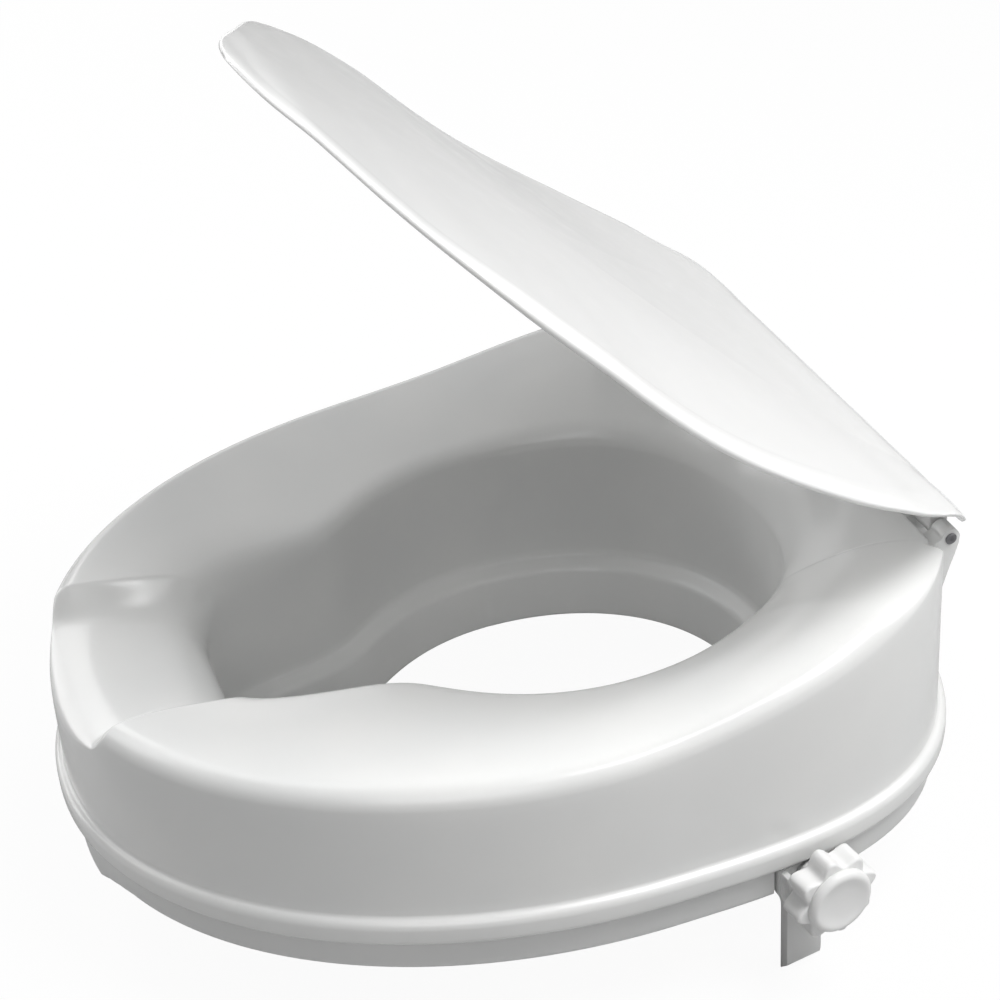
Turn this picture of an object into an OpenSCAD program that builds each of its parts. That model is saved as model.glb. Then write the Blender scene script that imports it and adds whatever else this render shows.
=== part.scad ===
// Raised toilet seat with a hinged lid and two screw-tightened side clamps.
// Millimetres. +Z up, -Y to the front of the seat, +X to the sitter's left.
// Origin: in the middle of the width and length, level with the lower ends of the clamp arms.

/* [Seat outline] */
// half of the overall width, mm
half_width = 178; // [172:0.5:184]
// length from the widest point to the front, mm
front_length = 229.8; // [222:0.2:238]
// length from the widest point to the back, mm
rear_length = 178; // [175:0.5:184]
// squareness of the front curve, 2 is an ellipse
front_power = 2.04; // [2:0.01:2.2]
// squareness of the back curve
rear_power = 2.95; // [2.7:0.05:3.2]

/* [Seat heights] */
// height of the rim's outer edge along the front half, mm
rim_edge_front = 83.5; // [78:0.5:90]
// rise of the rim's outer edge per millimetre towards the back
rim_rise = 0.215; // [0.18:0.005:0.23]
// height of the rounded shoulder above the rim's outer edge, mm
shoulder = 9.4; // [6:0.2:11]
// highest point of the rim at the back, mm
rear_crest = 118.5; // [114:0.5:119]
// height of the rim where it turns down into the opening, mm
inner_edge = 84.2; // [82:0.2:86]
// height of the bottom of the outer bead, mm
bead_bottom = 16.6; // [16.6:0.1:17.4]
// wall thickness of the seat moulding, mm
wall = 3; // [2.6:0.1:3.4]

/* [Opening] */
// half of the opening's width, mm
opening_half = 105; // [100:0.5:107]
// reach of the oval opening behind its centre, mm
opening_rear = 115; // [110:0.5:116]
// reach of the oval opening in front of its centre, mm
opening_front = 106; // [102:0.5:110]
// half of the width of the front tongue of the opening, mm
tongue_half = 60; // [56:0.5:62]
// reach of the front tongue of the opening, mm
tongue_reach = 160; // [154:0.5:164]
// how far the splash spigot reaches below the seat, mm
spigot = 20; // [12:0.5:24]

/* [Front recess] */
// half angle of the recess at the outer edge, degrees
recess_half = 14.9; // [13:0.1:16]
// height of the recess floor at its outer edge, mm
recess_floor = 79; // [76:0.5:82]

/* [Base] */
// thickness of the base plate, mm
plate = 4; // [3.6:0.1:4.4]
// inset of the skirt from the bead, mm
skirt_inset = 5.3; // [4.5:0.1:6.5]
// thickness of the rubber rest pads, mm
pad = 3; // [2:0.1:4]
// depth of the front lug below the skirt, mm
front_lug = 11; // [6:0.5:12]
// number of base screws
screws = 8; // [6:2:8]

/* [Lid] */
// angle the lid is opened from closed, degrees
lid_open = 44.3; // [0:0.1:104]
// lid length from its back edge to its front tip, mm
lid_length = 362; // [354:1:364]
// half of the lid's width, mm
lid_half = 169; // [166:0.5:172]
// thickness of the lid, mm
lid_thick = 3; // [2.6:0.1:3.4]
// diameter of the hinge pins, mm
pin_d = 4.6; // [4.2:0.1:5]

/* [Clamps] */
// diameter of the clamp stud, mm
stud_d = 6; // [5:0.5:6]
// largest diameter of the hand wheel across its lobes, mm
wheel_d = 41; // [38:0.5:43]
// number of lobes on the hand wheel
lobes = 8; // [6:1:10]
// diameter of the round crown, mm
crown_d = 31; // [28:0.5:32]
// width of the bracket arm, mm
arm_width = 18; // [17:0.5:19]
// depth the bracket arm reaches below the skirt, mm
arm_drop = 47.5; // [44:0.5:52]

/* [Hidden] */
$fn = 64;
mid_y = (rear_length - front_length) / 2; // middle of the seat's length, from its widest point

// rim
open_y = 8;            // centre of the opening
shelf_z = 105;         // hinge shelf behind the rear crest
crest_y = 148;         // line of the rear crest
rim_inset = 5.2;       // start of the rim's top, inside the outline
rim_setback = 2;       // end of the rim's top, outside the opening
// runs of section angles round the seat: first angle, step, count
angle_runs = [
    [-116, 2.4, 22], [-63, 5.4, 20], [45, 2.5, 4], [53, 1.1, 9],
    [64, 6.5, 9], [118.2, 1.1, 9], [129.5, 2.5, 4], [138.6, 5.4, 20]];
section_angles = [for (run = angle_runs) for (i = [0:run[2] - 1]) run[0] + i * run[1]];

// base
screw_inset = 14;
pad_inset = 32;
pad_angles = [28, 152, 222, 318];
pad_stem_d = 5;

// hinge, one clevis each side
pin_y = 160.3;
pin_z = 114.2;
barrel_r = 4.6;
inner_ear = [76, 85];  // x range
outer_ear = [100, 110];
pin_start = 75;
knuckle_gap = 1;

// lid
closed_slope = 4.4;
lid_rest = 0.5;               // the buffers hold the closed lid this many degrees up
lid_back = [158.57, 123.47];  // y, z of the back edge's datum when closed
lid_mid = 205;                // centre of the outline, forward of the datum
lid_tail = 4;                 // length of the lid behind the datum

// clamps
tilt = 9;              // clamp axis turned towards the back
clamp_x = 171.5;       // outer face of the bracket arm, on the stud's axis
clamp_y = 61;
clamp_z = 9.2;
arm_shift = -1.2;      // the arm sits a little in front of its stud
arm_thick = 5;
arm_corner = 11;       // radius of the arm's rounded corner
arm_half = arm_width / 2;
base_low = -clamp_z;             // underside of the base, in the clamp's frame
arm_low = base_low - arm_drop;   // lower end of the arm, in the clamp's frame
rail_y = 7.65;
nut_x = -38;
nut_thick = 5;
wheel_x = 10;
wheel_thick = 12;

// ---- curves
function mix(from, to, part) = from + (to - from) * part;
function smooth(part) = let (held = max(0, min(1, part))) held * held * (3 - 2 * held);
// rounded ramp: near 0 below zero, slope near 1 above it
function soft(value) = value > 120 ? value : 20 * ln(1 + exp(value / 20));
function bump(value, centre, width) = exp(-pow((value - centre) / width, 2));
// polar radius of a superellipse
function super_r(angle, across, along, power) =
    pow(pow(abs(cos(angle) / across), power) + pow(abs(sin(angle) / along), power), -1 / power);
// unit normal to the right of a direction
function right_of(way) = [way[1], -way[0]] / norm(way);
function raise(point, z) = [point[0], point[1], z];

// ---- seat outline seen from above
function out_r(angle) = sin(angle) < 0
    ? super_r(angle, half_width, front_length, front_power)
    : super_r(angle, half_width, rear_length, rear_power);
function out_p(angle) = out_r(angle) * [cos(angle), sin(angle)];
function out_n(angle) = right_of(out_p(angle + 0.05) - out_p(angle - 0.05));
function out_at(angle, inset) = out_p(angle) - out_n(angle) * inset;

// ---- opening outline: an oval run smoothly into a narrower front tongue
function hole_r(angle) = sin(angle) >= 0
    ? super_r(angle, opening_half, opening_rear, 2.1)
    : let (oval = super_r(angle, opening_half, opening_front, 2),
           tongue = super_r(angle, tongue_half, tongue_reach, 5))
      pow(pow(oval, 10) + pow(tongue, 10), 0.1);
function hole_p(angle) =
    [hole_r(angle) * cos(angle), open_y + hole_r(angle) * sin(angle)];
function hole_n(angle) = right_of(hole_p(angle + 0.05) - hole_p(angle - 0.05));
// inset is measured towards the middle of the opening
function hole_at(angle, inset) = hole_p(angle) - hole_n(angle) * inset;

// ---- rim top; across runs 0 to 1 from its outer end to its inner end
function rim_outer(angle) = out_at(angle, rim_inset);
function rim_inner(angle) = hole_at(angle, -rim_setback);
function rim_width(angle) = norm(rim_outer(angle) - rim_inner(angle));

// weight of the front recess
function from_front(angle) = abs(angle + 90 > 180 ? angle - 270 : angle + 90);
function recess(angle, across) =
    let (tail = 3.4 + 6 * across,
         limit = recess_half + 0.8 + 3.4 * across * across,
         part = max(0, min(1, (from_front(angle) - limit + tail) / tail)))
    pow(1 - pow(part, 2.2), 1.6);
// weight of the hinge shelf at the back, between the two rear corners
function shelf(angle) = sin(angle) > 0 ? smooth((120 - abs(rim_outer(angle)[0])) / 5) : 0;

// heights of the outer edge and of the crest
function side_z(angle) =
    min(rim_edge_front + rim_rise * soft(out_p(angle)[1] + 9), rear_crest - 2);
function edge_z(angle) = mix(side_z(angle), shelf_z, shelf(angle));
function crest_z(angle) =
    mix(min(side_z(angle) + shoulder, rear_crest), rear_crest, shelf(angle));
// where the crest lies across the rim
function crest_across(angle) =
    let (outer_y = rim_outer(angle)[1], inner_y = rim_inner(angle)[1])
    mix(10 / rim_width(angle),
        sin(angle) > 0 ? (outer_y - crest_y) / (outer_y - inner_y) : 0, shelf(angle));
// climb from the outer edge to the crest, part 0 to 1
function rise_z(angle, part) = mix(
    mix(edge_z(angle), crest_z(angle), sqrt(1 - pow(1 - part, 2))),
    mix(shelf_z, rear_crest, smooth((part - 0.62) / 0.38)),
    shelf(angle));
// fall from the crest to the opening, part 0 to 1
function inner_z(angle) = inner_edge + 2.5 * bump(hole_p(angle)[1], 75, 32);
function fall_power(angle) = sin(angle) > 0
    ? 1.7 - 0.2 * smooth((150 - abs(rim_outer(angle)[0])) / 90) : 1.7;
function fall_z(angle, part) =
    crest_z(angle) - (crest_z(angle) - inner_z(angle)) * pow(part, fall_power(angle));
// recess floor: a rounded outer lip, then a fall to the opening
function recess_z(angle, across) =
    let (lip = 0.3,
         side = pow(min(1, from_front(angle) / recess_half), 2),
         inward = (across - lip) / (1 - lip))
    across < lip
    ? recess_floor + 2 * side - (12 - 11 * side) * (1 - sqrt(1 - pow(1 - across / lip, 2)))
    : recess_floor - 7.5 * pow(inward, 2) + 2 * side * (1 - inward);

// pos runs 0 to 1 outside the crest and 1 to 2 inside it
function across_at(angle, pos) = let (crest = crest_across(angle))
    pos <= 1 ? crest * pos : crest + (1 - crest) * (pos - 1);
function top_z(angle, pos) = let (across = across_at(angle, pos))
    mix(pos <= 1 ? rise_z(angle, pos) : fall_z(angle, pos - 1),
        recess_z(angle, across), recess(angle, across));
function top_p(angle, pos, depth) =
    raise(mix(rim_outer(angle), rim_inner(angle), across_at(angle, pos)),
        top_z(angle, pos) - depth);

// rounding from the rim into the opening, starting at roll_pos on the rim
function roll_r(angle) = mix(8, 20, smooth((42 - from_front(angle)) / 24));
function roll_pos(angle) = let (crest = crest_across(angle))
    1 + (1 - (roll_r(angle) - rim_setback) / rim_width(angle) - crest) / (1 - crest);
// quadratic curve that leaves along the rim's slope, part 0 to 1 down to the wall
function roll_p(angle, part) =
    let (start = top_p(angle, roll_pos(angle), 0),
         way = start - top_p(angle, roll_pos(angle) - 0.03, 0),
         foot = hole_at(angle, 1.5),
         slope = way[2] / norm([way[0], way[1]]),
         bend_z = start[2] + slope * norm([foot[0] - start[0], foot[1] - start[1]]))
    start * pow(1 - part, 2)
        + raise(foot, bend_z) * 2 * part * (1 - part)
        + raise(foot, bend_z - roll_r(angle) * 0.9) * part * part;

// ---- seat moulding
// outer bead and foot of the side wall: inset from the outline, z
bead_profile = [
    [4.4, bead_bottom], [1.1, bead_bottom + 0.9], [0, 21], [0, 26],
    [1.1, 28.9], [3.65, 29.9], [4.2, 50]];
// opening wall and spigot, down the opening side and back up: inset from the opening, z
spigot_profile = [
    [0.6, 30], [0, 10.5], [7.5, 6.5], [8.6, 3.5], [12, -spigot],
    [12 - wall, -spigot], [5.6, 1.5], [-wall, 6.5], [0.6 - wall, 30]];

// one closed cross-section of the moulding
function seat_section(angle) = concat(
    [for (point = bead_profile) raise(out_at(angle, point[0]), point[1])],
    [for (pos = [0, 0.08, 0.25, 0.5, 0.7, 0.85]) top_p(angle, pos, 0)],
    [for (part = [0, 0.13, 0.3, 0.5, 0.7, 0.86])
        top_p(angle, 1 + part * (roll_pos(angle) - 1), 0)],
    [for (part = [0, 0.16, 0.34, 0.55, 0.8, 1]) roll_p(angle, part)],
    [for (point = spigot_profile) raise(hole_at(angle, point[0]), point[1])],
    [raise(hole_at(angle, 1.2 - wall), top_z(angle, 2) - 11)],
    [for (pos = [1.74, 1.5, 1.25, 1, 0.75, 0.4]) top_p(angle, pos, wall + 0.8)],
    [raise(out_at(angle, 5.4 + wall), top_z(angle, 0) - 1.5),
     raise(out_at(angle, 4.2 + wall), 50),
     raise(out_at(angle, 4.4 + wall), bead_bottom)]);

// two triangles between points j and j_next of two rows, given the rows' first indices
function patch(row, next_row, j, j_next) = [
    [row + j, next_row + j_next, next_row + j],
    [row + j, row + j_next, next_row + j_next]];

// puts the seat's own frame into the part's frame
module place() translate([0, -mid_y, arm_drop]) children();

// draws the sitter's left for side 1, its mirror image for side -1
module to_side(side) {
    if (side > 0) children();
    else mirror([1, 0, 0]) children();
}

module seat_shell() color([0.95, 0.95, 0.94]) place() {
    sections = [for (angle = section_angles) seat_section(angle)];
    rows = len(sections);
    size = len(sections[0]);
    polyhedron(
        points = [for (section = sections) each section],
        faces = [for (i = [0:rows - 1], j = [0:size - 1])
            each patch(i * size, ((i + 1) % rows) * size, j, (j + 1) % size)],
        convexity = 8);
}

// ---- base
module outline(inset) polygon([for (angle = [0:3:357]) out_at(angle, inset)]);
module hole_outline(inset) polygon([for (angle = [0:3:357]) hole_at(angle, inset)]);
module skirt_ring() difference() {
    outline(skirt_inset);
    outline(skirt_inset + wall);
}

// front lug's outline seen from the front: x, z
lug_outline = [
    [-60, 1], [-60, 0], [-50, -0.15 * front_lug], [-39, -0.46 * front_lug], [-27, -front_lug],
    [27, -front_lug], [39, -0.46 * front_lug], [50, -0.15 * front_lug], [60, 0], [60, 1]];

// hangs over the bowl's front edge
module lug() intersection() {
    translate([0, 0, -front_lug]) linear_extrude(front_lug + 2) skirt_ring();
    translate([0, -150, 0]) rotate([90, 0, 0]) linear_extrude(100) polygon(lug_outline);
}

function screw_at(i) = out_at(i * 360 / screws, screw_inset);
module at_screws(z) for (i = [0:screws - 1]) translate(raise(screw_at(i), z)) children();

module at_pads() for (angle = pad_angles)
    translate(raise(out_at(angle, pad_inset), 0))
        rotate([0, 0, atan2(out_n(angle)[1], out_n(angle)[0])])
            children();

module base_plate() color([0.93, 0.93, 0.92]) place() difference() {
    union() {
        linear_extrude(plate) difference() {
            outline(skirt_inset);
            hole_outline(-wall - 1);
        }
        linear_extrude(bead_bottom - 0.1) skirt_ring();
        lug();
    }
    // passages for the clamps
    for (side = [1, -1]) clamp_frame(side) {
        translate([-9, -15.5, base_low - 1]) cube([30, 31, 20]);
        translate([-13, arm_shift - arm_half - 0.5, base_low - 1])
            cube([30, arm_width + 1, 20]);
    }
    // screw holes with sunk heads
    at_screws(-1) {
        cylinder(d = 3.8, h = 10);
        cylinder(d = 8.4, h = 3.6);
    }
    at_pads() translate([0, 0, -1]) cylinder(d = pad_stem_d, h = 10);
}

module shell_posts() color([0.93, 0.93, 0.92]) place() at_screws(plate + 0.05) difference() {
    cylinder(d = 9, h = 34);
    translate([0, 0, -1]) cylinder(d = 3.0, h = 22);
}

// screws with a cross slot
module base_screws() color([0.7, 0.7, 0.72]) place() at_screws(0) difference() {
    union() {
        translate([0, 0, 0.3]) cylinder(d = 7.6, h = 2.3);
        translate([0, 0, 1]) cylinder(d = 3.0, h = 21);
    }
    for (turn = [0, 90]) rotate([0, 0, turn]) translate([-2.2, -0.4, -1]) cube([4.4, 0.8, 2.5]);
}

// long round-ended pads, each held by a stem with a flat head above the plate
module rest_pads() color([0.25, 0.26, 0.27]) place() at_pads() {
    translate([0, 0, -pad]) linear_extrude(pad) union() {
        translate([-7, -15]) square([14, 30]);
        translate([0, -15]) circle(d = 14);
        translate([0, 15]) circle(d = 14);
    }
    translate([0, 0, -0.5]) cylinder(d = pad_stem_d, h = plate + 0.5);
    translate([0, 0, plate]) cylinder(d = 7, h = 1.6);
}

// ---- hinge
// outline of an ear seen from the side, drawn in y, z
module ear_profile() union() {
    translate([pin_y, pin_z]) circle(barrel_r);
    polygon([
        [pin_y + barrel_r, pin_z], [pin_y + barrel_r - 0.3, pin_z - 3],
        [pin_y + barrel_r - 2.2, pin_z - 9], [pin_y + barrel_r - 4.4, pin_z - 15],
        [157, 88], [148, 88], [148, 110], [pin_y - barrel_r, pin_z + 1], [pin_y, pin_z]]);
}
module ear(range) translate([range[0], 0, 0]) rotate([90, 0, 90])
    linear_extrude(range[1] - range[0]) difference() {
        ear_profile();
        translate([pin_y, pin_z]) circle(d = pin_d);
    }

// clevis on the back of the seat: two ears joined by a block
module hinge_boss(side) color([0.94, 0.94, 0.93]) place() to_side(side) {
    overlap = 0.5;
    ear(outer_ear);
    ear(inner_ear);
    translate([inner_ear[1] - overlap, 147, 90])
        cube([outer_ear[0] - inner_ear[1] + 2 * overlap, 5, 16]);
}
module hinge_boss_left() hinge_boss(1);
module hinge_boss_right() hinge_boss(-1);

// pin with a thin head at its outer end
module hinge_pin(side) color([0.2, 0.2, 0.21]) place() to_side(side) {
    pin_length = outer_ear[1] - pin_start;
    translate([pin_start, pin_y, pin_z]) rotate([0, 90, 0]) union() {
        cylinder(d = pin_d, h = pin_length);
        translate([0, 0, pin_length]) cylinder(d = pin_d + 0.8, h = 0.8);
    }
}
module hinge_pin_left() hinge_pin(1);
module hinge_pin_right() hinge_pin(-1);

// ---- lid, drawn closed and turned about the hinge axis
// outline radius about lid_mid; 90 degrees is the front, where the corners are eased in
function lid_r(angle) =
    let (front = sin(angle) > 0,
         full = super_r(angle, lid_half, front ? lid_length - lid_tail - lid_mid : 240,
             front ? 2 : 2.6))
    sin(angle) < -0.01
    ? min(full, (lid_mid + lid_tail) / -sin(angle))
    : full * (1 - 0.073 * bump(abs(angle - 90), 29, 21));

// dist is the distance forward of the back edge's datum, along the lid
// height of the lid's outer edge above its own plane
function lid_edge(dist) =
    5.8 * bump(dist, 28, 22) + 1.9 * bump(dist, 64, 20) - 11 * bump(dist, 172, 85)
    - 1.7 * smooth((dist - 225) / 45) - 1.2 * smooth((dist - 332) / 16)
    - 0.6 * bump(dist, 332, 45) - 1.6;
// depth of the turned-down edge
function lid_lip(dist) =
    3 + 3 * smooth((dist - 10) / 90) - 2.6 * smooth((dist - 260) / 45);
// top surface at a part of the way from the centre to the outline, rounded over past round_at
function lid_top(part, dist) =
    let (round_at = 0.93,
         centre = 1.5 + bump(dist, 10, 60),
         brim = lid_edge(dist) + lid_lip(dist))
    part <= round_at
    ? mix(centre, brim, pow(part / round_at, 2))
    : brim - (lid_lip(dist) - 2)
        * (1 - sqrt(max(0, 1 - pow((part - round_at) / 0.07, 2))));

function lid_dist(angle, part) = lid_mid + lid_r(angle) * part * sin(angle);
function lid_point(angle, part, height) = let (dist = lid_dist(angle, part)) [
    lid_r(angle) * part * cos(angle),
    lid_back[0] - dist * cos(closed_slope) + height * sin(closed_slope),
    lid_back[1] - dist * sin(closed_slope) + height * cos(closed_slope)];
function lid_surface(angle, part, depth) =
    lid_point(angle, part, lid_top(part, lid_dist(angle, part)) - depth);
function lid_lip_end(angle, part) = lid_point(angle, part, lid_edge(lid_dist(angle, part)));

// one ray of points: out along the top, round the lip and back along the underside
function lid_ray(angle) = concat(
    [for (part = [0.2, 0.4, 0.6, 0.76, 0.87, 0.93, 0.96, 0.985, 1]) lid_surface(angle, part, 0)],
    [for (part = [0.995, 0.972]) lid_lip_end(angle, part)],
    [for (part = [0.965, 0.945, 0.87, 0.76, 0.6, 0.4, 0.2])
        lid_surface(angle, part, lid_thick)]);

module lid_turn() place()
    translate([0, pin_y, pin_z]) rotate([-lid_open - lid_rest, 0, 0])
        translate([0, -pin_y, -pin_z]) children();

module lid_shell() color([0.96, 0.96, 0.95]) lid_turn() {
    rays = [for (i = [0:71]) lid_ray(i * 5)];
    count = len(rays);
    size = len(rays[0]);
    // first index of each ray, after the two centre points; the last wraps to the first
    first = [for (i = [0:count]) 2 + (i % count) * size];
    polyhedron(
        points = concat(
            [lid_surface(0, 0, 0), lid_surface(0, 0, lid_thick)],
            [for (ray = rays) each ray]),
        faces = concat(
            [for (i = [0:count - 1]) [0, first[i], first[i + 1]]],
            [for (i = [0:count - 1]) [1, first[i + 1] + size - 1, first[i] + size - 1]],
            [for (i = [0:count - 1], j = [0:size - 2])
                each patch(first[i], first[i + 1], j, j + 1)]),
        convexity = 6);
}

// knuckle of the lid, between the two ears of its boss
module lid_knuckle(side) color([0.95, 0.95, 0.94]) lid_turn() to_side(side) {
    start = inner_ear[1] + knuckle_gap;
    end = outer_ear[0] - knuckle_gap;
    rotate([90, 0, 90]) translate([0, 0, start]) linear_extrude(end - start) difference() {
        polygon(concat(
            [for (a = [200:10:400]) [pin_y + barrel_r * cos(a), pin_z + barrel_r * sin(a)]],
            [[pin_y - 2.2, pin_z + 8.4], [pin_y - 14, pin_z + 7.4]]));
        translate([pin_y, pin_z]) circle(d = pin_d + 0.12);
    }
}
module lid_knuckle_left() lid_knuckle(1);
module lid_knuckle_right() lid_knuckle(-1);

// rubber buffers under the lid: x, distance forward of the datum, height
buffers = [[140, 100, 4.8], [-140, 100, 4.8], [75, 290, 5], [-75, 290, 5]];
function lid_under(x, dist) =
    let (angle = atan2(dist - lid_mid, x), part = norm([x, dist - lid_mid]) / lid_r(angle))
    lid_top(part, dist) - lid_thick;
// drawn along the lid's own normal
module lid_buffers() color([0.85, 0.85, 0.84]) lid_turn()
    translate([0, lid_back[0], lid_back[1]]) rotate([closed_slope, 0, 0])
        for (buffer = buffers)
            translate([buffer[0], -buffer[1], lid_under(buffer[0], buffer[1]) - buffer[2]])
                cylinder(d1 = 9, d2 = 11, h = buffer[2] + 0.4);

// ---- side clamps
// the clamp's own frame: +X out along the stud, origin on the arm's outer face
module clamp_frame(side) to_side(side)
    translate([clamp_x, clamp_y, clamp_z]) rotate([0, 0, tilt]) children();
module clamp(side) place() clamp_frame(side) children();
// turns +Z to point out along the stud, from a given x
module along_stud(x) translate([x, 0, 0]) rotate([0, 90, 0]) children();
// extrudes a y, z outline outwards from the arm's inner face
module arm_slab() rotate([90, 0, 90]) translate([0, 0, -arm_thick])
    linear_extrude(arm_thick) children();

module bracket(side) color([0.9, 0.9, 0.89]) clamp(side) difference() {
    union() {
        // arm with its lower back corner rounded
        translate([0, arm_shift, 0]) arm_slab() union() {
            translate([-arm_half, arm_low]) square([arm_width - arm_corner, 30]);
            translate([-arm_half, arm_low + arm_corner]) square([arm_width, -arm_low - 9]);
            translate([arm_half - arm_corner, arm_low + arm_corner]) circle(arm_corner);
        }
        // flared head
        arm_slab() polygon([
            [-arm_half + arm_shift, -18], [arm_half + arm_shift, -18],
            [arm_half + arm_shift, -15.8], [14, -8.6], [14, 5.4],
            [-14.2, 5.4], [-14.2, -8.6], [-arm_half + arm_shift, -15.8]]);
        // raised wing each side of the head
        for (k = [-1, 1]) rotate([90, 0, 90]) translate([0, 0, -3]) linear_extrude(8)
            polygon([[k * 14.2, 4.6], [k * 10.8, 4.6], [k * 7.8, -11.4], [k * 10.4, -14]]);
        // twin guide rails that run in the base
        for (k = [-1, 1]) translate([-46, k * rail_y - 1.35, base_low + plate + 0.3])
            cube([42, 2.7, 4]);
    }
    along_stud(-20) cylinder(d = stud_d + 0.16, h = 40);
    // the lower end is cut back on the outside
    translate([-arm_thick, arm_shift, arm_low]) rotate([0, -45, 0])
        translate([0, -20, -14]) cube([20, 40, 14]);
}
module bracket_left() bracket(1);
module bracket_right() bracket(-1);

// grooved pad on the inner face of the arm
module jaw_pad(side) color([0.25, 0.26, 0.27]) clamp(side)
    translate([0, arm_shift, 0]) difference() {
        thick = 2.6;
        translate([-arm_thick - thick, -arm_half + 2, arm_low + 5])
            cube([thick, arm_width - 4, arm_drop - 10]);
        for (i = [0:5]) translate([-8.2, -arm_half, arm_low + 8.6 + i * 5.4])
            cube([1.4, arm_width, 2]);
    }
module jaw_pad_left() jaw_pad(1);
module jaw_pad_right() jaw_pad(-1);

// block on the base plate, with grooves for the rails, a stud bore and a nut pocket
module nut_block(side) color([0.92, 0.92, 0.91]) clamp(side) difference() {
    translate([-44, -13, base_low + plate]) cube([12, 26, 14]);
    for (k = [-1, 1]) translate([-50, k * rail_y - 1.6, base_low + plate - 1])
        cube([30, 3.2, 5.6]);
    along_stud(-60) cylinder(d = stud_d + 0.6, h = 50);
    translate([nut_x - 0.1, -5.9, -5]) cube([nut_thick + 0.2, 11.8, 10]);
}
module nut_block_left() nut_block(1);
module nut_block_right() nut_block(-1);

// hexagon nut, 10 mm across its flats, with trimmed corners
module nut(side) color([0.75, 0.75, 0.77]) clamp(side) along_stud(nut_x) difference() {
    intersection() {
        rotate([0, 0, 90]) cylinder(d = 10 / cos(30), h = nut_thick, $fn = 6);
        cylinder(d = 11.4, h = nut_thick);
    }
    translate([0, 0, -1]) cylinder(d = stud_d + 0.1, h = 10);
}
module nut_left() nut(1);
module nut_right() nut(-1);

// stud with a tapered inner tip
module stud(side) color([0.78, 0.78, 0.8]) clamp(side) along_stud(-48) union() {
    cylinder(d1 = stud_d - 1.4, d2 = stud_d, h = 1);
    translate([0, 0, 1]) cylinder(d = stud_d, h = 64);
}
module stud_left() stud(1);
module stud_right() stud(-1);

// flat ring round the stud
module flat_ring(diameter, thick) difference() {
    cylinder(d = diameter, h = thick);
    translate([0, 0, -1]) cylinder(d = stud_d, h = 4);
}
module stud_ring(side) color([0.6, 0.6, 0.62]) clamp(side) along_stud(-6.4) flat_ring(9.6, 1.2);
module stud_ring_left() stud_ring(1);
module stud_ring_right() stud_ring(-1);
module washer(side) color([0.78, 0.78, 0.8]) clamp(side) along_stud(0.1) flat_ring(12, 1.5);
module washer_left() washer(1);
module washer_right() washer(-1);

// lobed hand wheel on a narrower hub
module wheel(side) color([0.93, 0.93, 0.92]) clamp(side) rotate([90, 0, 90]) difference() {
    wave = 2.3; // half of the lobes' depth
    union() {
        translate([0, 0, 1.6]) cylinder(d = 12.6, h = 9);
        translate([0, 0, wheel_x]) linear_extrude(wheel_thick)
            polygon([for (a = [0:3.75:356.25])
                (wheel_d / 2 - wave + wave * cos(lobes * (a - 10))) * [cos(a), sin(a)]]);
    }
    translate([0, 0, -1]) cylinder(d = stud_d, h = 18);
}
module wheel_left() wheel(1);
module wheel_right() wheel(-1);

// round crown on the wheel's outer face, with a raised rounded rim
crown_r = crown_d / 2;
// radius, height
crown_profile = [
    [0, 0], [crown_r, 0], [crown_r, 1.2], [crown_r - 0.3, 2.2], [crown_r - 1.1, 3.3],
    [crown_r - 2.2, 3.9], [crown_r - 3.2, 3.9], [crown_r - 4.4, 3.5], [crown_r - 6.2, 3.1],
    [0, 2.8]];
module crown(side) color([0.95, 0.95, 0.94]) clamp(side)
    along_stud(wheel_x + wheel_thick) rotate_extrude() polygon(crown_profile);
module crown_left() crown(1);
module crown_right() crown(-1);

seat_shell();
base_plate();
shell_posts();
base_screws();
rest_pads();
hinge_boss_left();
hinge_boss_right();
hinge_pin_left();
hinge_pin_right();
nut_block_left();
nut_block_right();
nut_left();
nut_right();
lid_shell();
lid_knuckle_left();
lid_knuckle_right();
lid_buffers();
bracket_left();
bracket_right();
jaw_pad_left();
jaw_pad_right();
wheel_left();
wheel_right();
crown_left();
crown_right();
stud_left();
stud_right();
stud_ring_left();
stud_ring_right();
washer_left();
washer_right();
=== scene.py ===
"""Raised toilet seat with its lid standing open, a base plate below and a screw clamp at each side.

The seat's own frame is in mm: x across with left at +x, y from the front (-) to the rear (+),
z up from the underside of the base plate. SHIFT carries it to the row frame, where the clamp
arms end at z = 0; meshes are stored there in metres.
"""
import bpy
import bmesh
import math
import numpy as np
from math import radians as rad
from mathutils import Vector, Matrix


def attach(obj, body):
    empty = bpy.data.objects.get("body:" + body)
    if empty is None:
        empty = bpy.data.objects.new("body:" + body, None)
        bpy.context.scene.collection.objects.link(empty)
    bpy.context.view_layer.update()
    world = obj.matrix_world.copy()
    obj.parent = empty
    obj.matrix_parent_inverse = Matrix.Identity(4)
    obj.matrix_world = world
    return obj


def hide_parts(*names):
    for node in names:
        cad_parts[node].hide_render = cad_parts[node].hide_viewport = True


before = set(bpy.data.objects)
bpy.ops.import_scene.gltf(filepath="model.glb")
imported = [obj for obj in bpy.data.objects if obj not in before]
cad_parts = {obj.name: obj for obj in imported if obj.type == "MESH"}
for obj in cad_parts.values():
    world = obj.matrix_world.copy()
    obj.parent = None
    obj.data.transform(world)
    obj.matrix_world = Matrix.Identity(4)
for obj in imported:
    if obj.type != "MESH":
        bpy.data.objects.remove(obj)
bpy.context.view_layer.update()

# ------------------------------------------------------------------ driving dimensions, mm
HALF_WIDTH = 178.0
FRONT_LENGTH, REAR_LENGTH = 229.8, 178.0
FRONT_POWER, REAR_POWER = 2.04, 2.95             # superellipse powers of the outline
EDGE_FRONT_Z, EDGE_SLOPE = 83.5, 0.215           # outer edge at the front, its rise to the rear
SHOULDER = 9.4                                   # crest above the outer edge
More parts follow.
